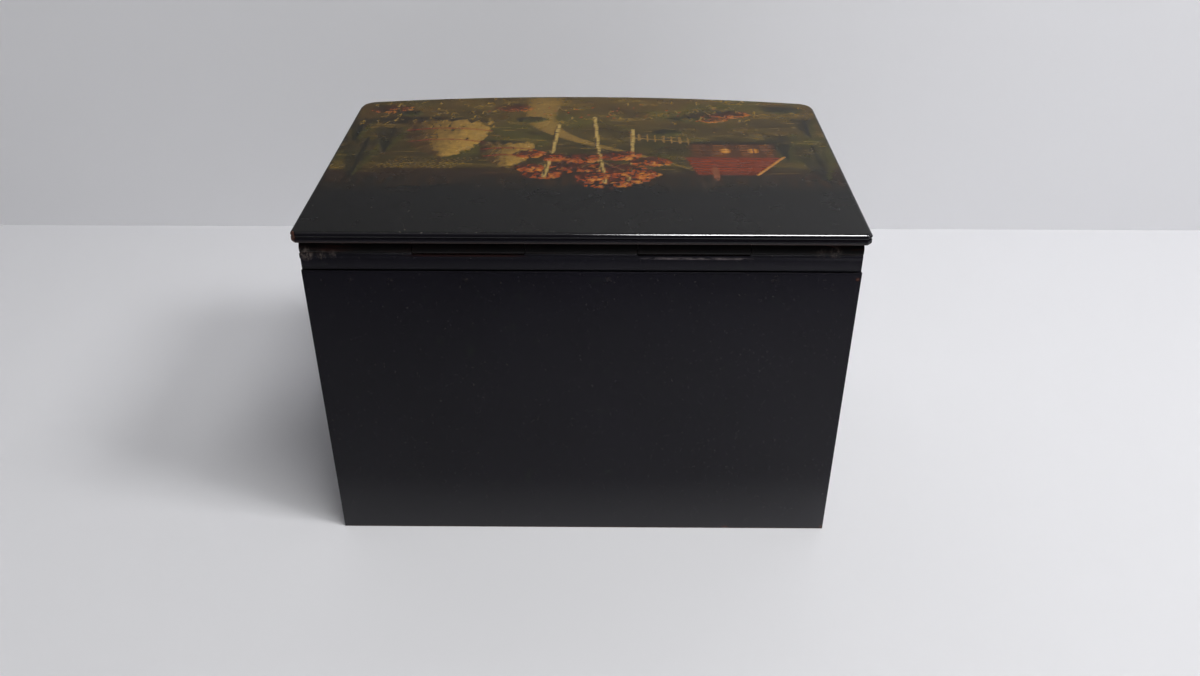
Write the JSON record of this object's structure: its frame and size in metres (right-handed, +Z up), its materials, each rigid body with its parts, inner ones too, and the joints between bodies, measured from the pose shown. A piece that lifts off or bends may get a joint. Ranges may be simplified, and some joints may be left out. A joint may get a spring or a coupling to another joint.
{
  "type": "deed box",
  "caption": "Lacquered papier-mache casket with a bowed front, a hinged moulded lid and a hook lock, for papers and keepsakes.",
  "frame": {"origin": "middle of the base, on the surface that the box stands on", "axes": "+Z up, +X along the width, the lock's front wall faces -Y and the hinge is at +Y"},
  "size_m": [0.2236, 0.1547, 0.1517],
  "materials": {
    "black_lacquer": "black oil lacquer on papier-mache, rubbed to a gloss",
    "picture_lacquer": "painted landscape under aged varnish",
    "red_lacquer": "dark red lacquer",
    "lacquered_tin": "sheet tin under black lacquer",
    "steel": "drawn wire and spring steel",
    "iron_nail": "dark iron",
    "brass": "aged sheet brass"
  },
  "bodies": {
    "box": {"body_walls": "black_lacquer", "bottom_panel": "black_lacquer", "hinge_leaf_body": "lacquered_tin", "hinge_pin": "steel", "hinge_cover_strip": "black_lacquer", "body_leaf_nails": "iron_nail", "lock_plate": "brass", "lock_case": "brass", "lock_studs": "brass", "key_pin": "steel", "lock_screws": "brass", "keyhole_escutcheon": "brass", "escutcheon_pins": "brass"},
    "lid": {"lid_plate": "picture_lacquer", "lid_lip_front": "red_lacquer", "lid_lip_left": "red_lacquer", "lid_lip_right": "red_lacquer", "hinge_leaf_lid": "lacquered_tin", "lid_leaf_nails": "iron_nail", "hook_plate": "brass", "hook_plate_screws": "brass"},
    "bolt": {"lock_bolt": "brass", "bolt_spring": "steel"}
  },
  "joints": [
    {"name": "lid_hinge", "type": "hinge", "parent": "box", "child": "lid", "pos_m": [0, 0.07235, 0.1437], "axis": [-1, 0, 0], "range_deg": [0, 92]},
    {"name": "bolt_slide", "type": "slide", "parent": "box", "child": "bolt", "axis": [-1, 0, 0], "range_m": [0, 0.0045]}
  ]
}
